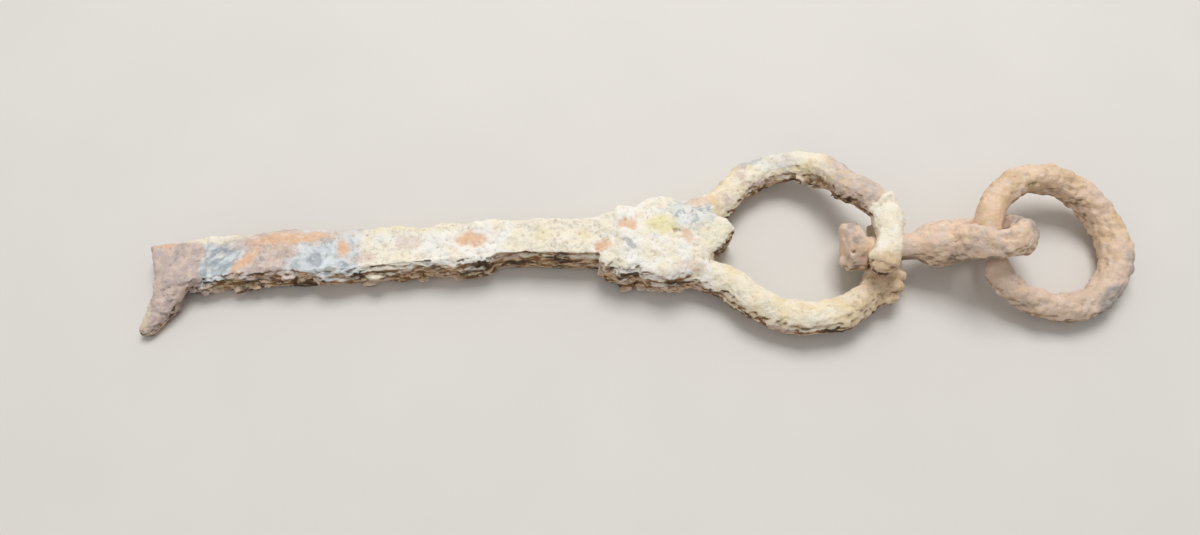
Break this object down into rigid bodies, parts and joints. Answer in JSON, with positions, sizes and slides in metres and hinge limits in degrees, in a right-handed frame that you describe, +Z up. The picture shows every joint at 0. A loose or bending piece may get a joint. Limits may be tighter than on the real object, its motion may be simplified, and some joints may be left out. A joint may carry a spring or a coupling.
{
  "type": "key",
  "caption": "Forged iron key with a claw-shaped bit, a round bow that lets a finger through, and a swivel in the bow's end that carries an open ring.",
  "frame": {"origin": "middle of the whole key's length and width, on the surface that it lies on", "axes": "+X along the shank from the bit to the ring, +Y across it away from the bit's tooth, +Z up from the surface"},
  "size_m": [0.176, 0.0366, 0.0153],
  "materials": {
    "bit_iron": "rough, mauve-brown rust",
    "shank_iron": "rough, blue-grey to cream crust with orange rust spots",
    "head_iron": "rough, cream lime crust over rust",
    "swivel_iron": "rough, tan rust"
  },
  "bodies": {
    "key": {"bit": "bit_iron", "shank": "shank_iron", "collar": "head_iron", "head_plate": "head_iron", "bow_upper_arm": "head_iron", "bow_lower_arm": "head_iron"},
    "swivel": {"swivel_pin": "swivel_iron", "swivel_head": "swivel_iron"},
    "ring": {"ring": "swivel_iron"}
  },
  "joints": [
    {"name": "swivel_spin", "type": "hinge", "parent": "key", "child": "swivel", "pos_m": [0.04363, -0.00383, 0.0064], "axis": [0.9966, 0.0261, 0.0785], "continuous": true},
    {"name": "ring_swing", "type": "hinge", "parent": "swivel", "child": "ring", "pos_m": [0.06047, -0.00339, 0.00773], "axis": [0.0601, 0.9521, 0.3], "range_deg": [-120, 120]}
  ]
}
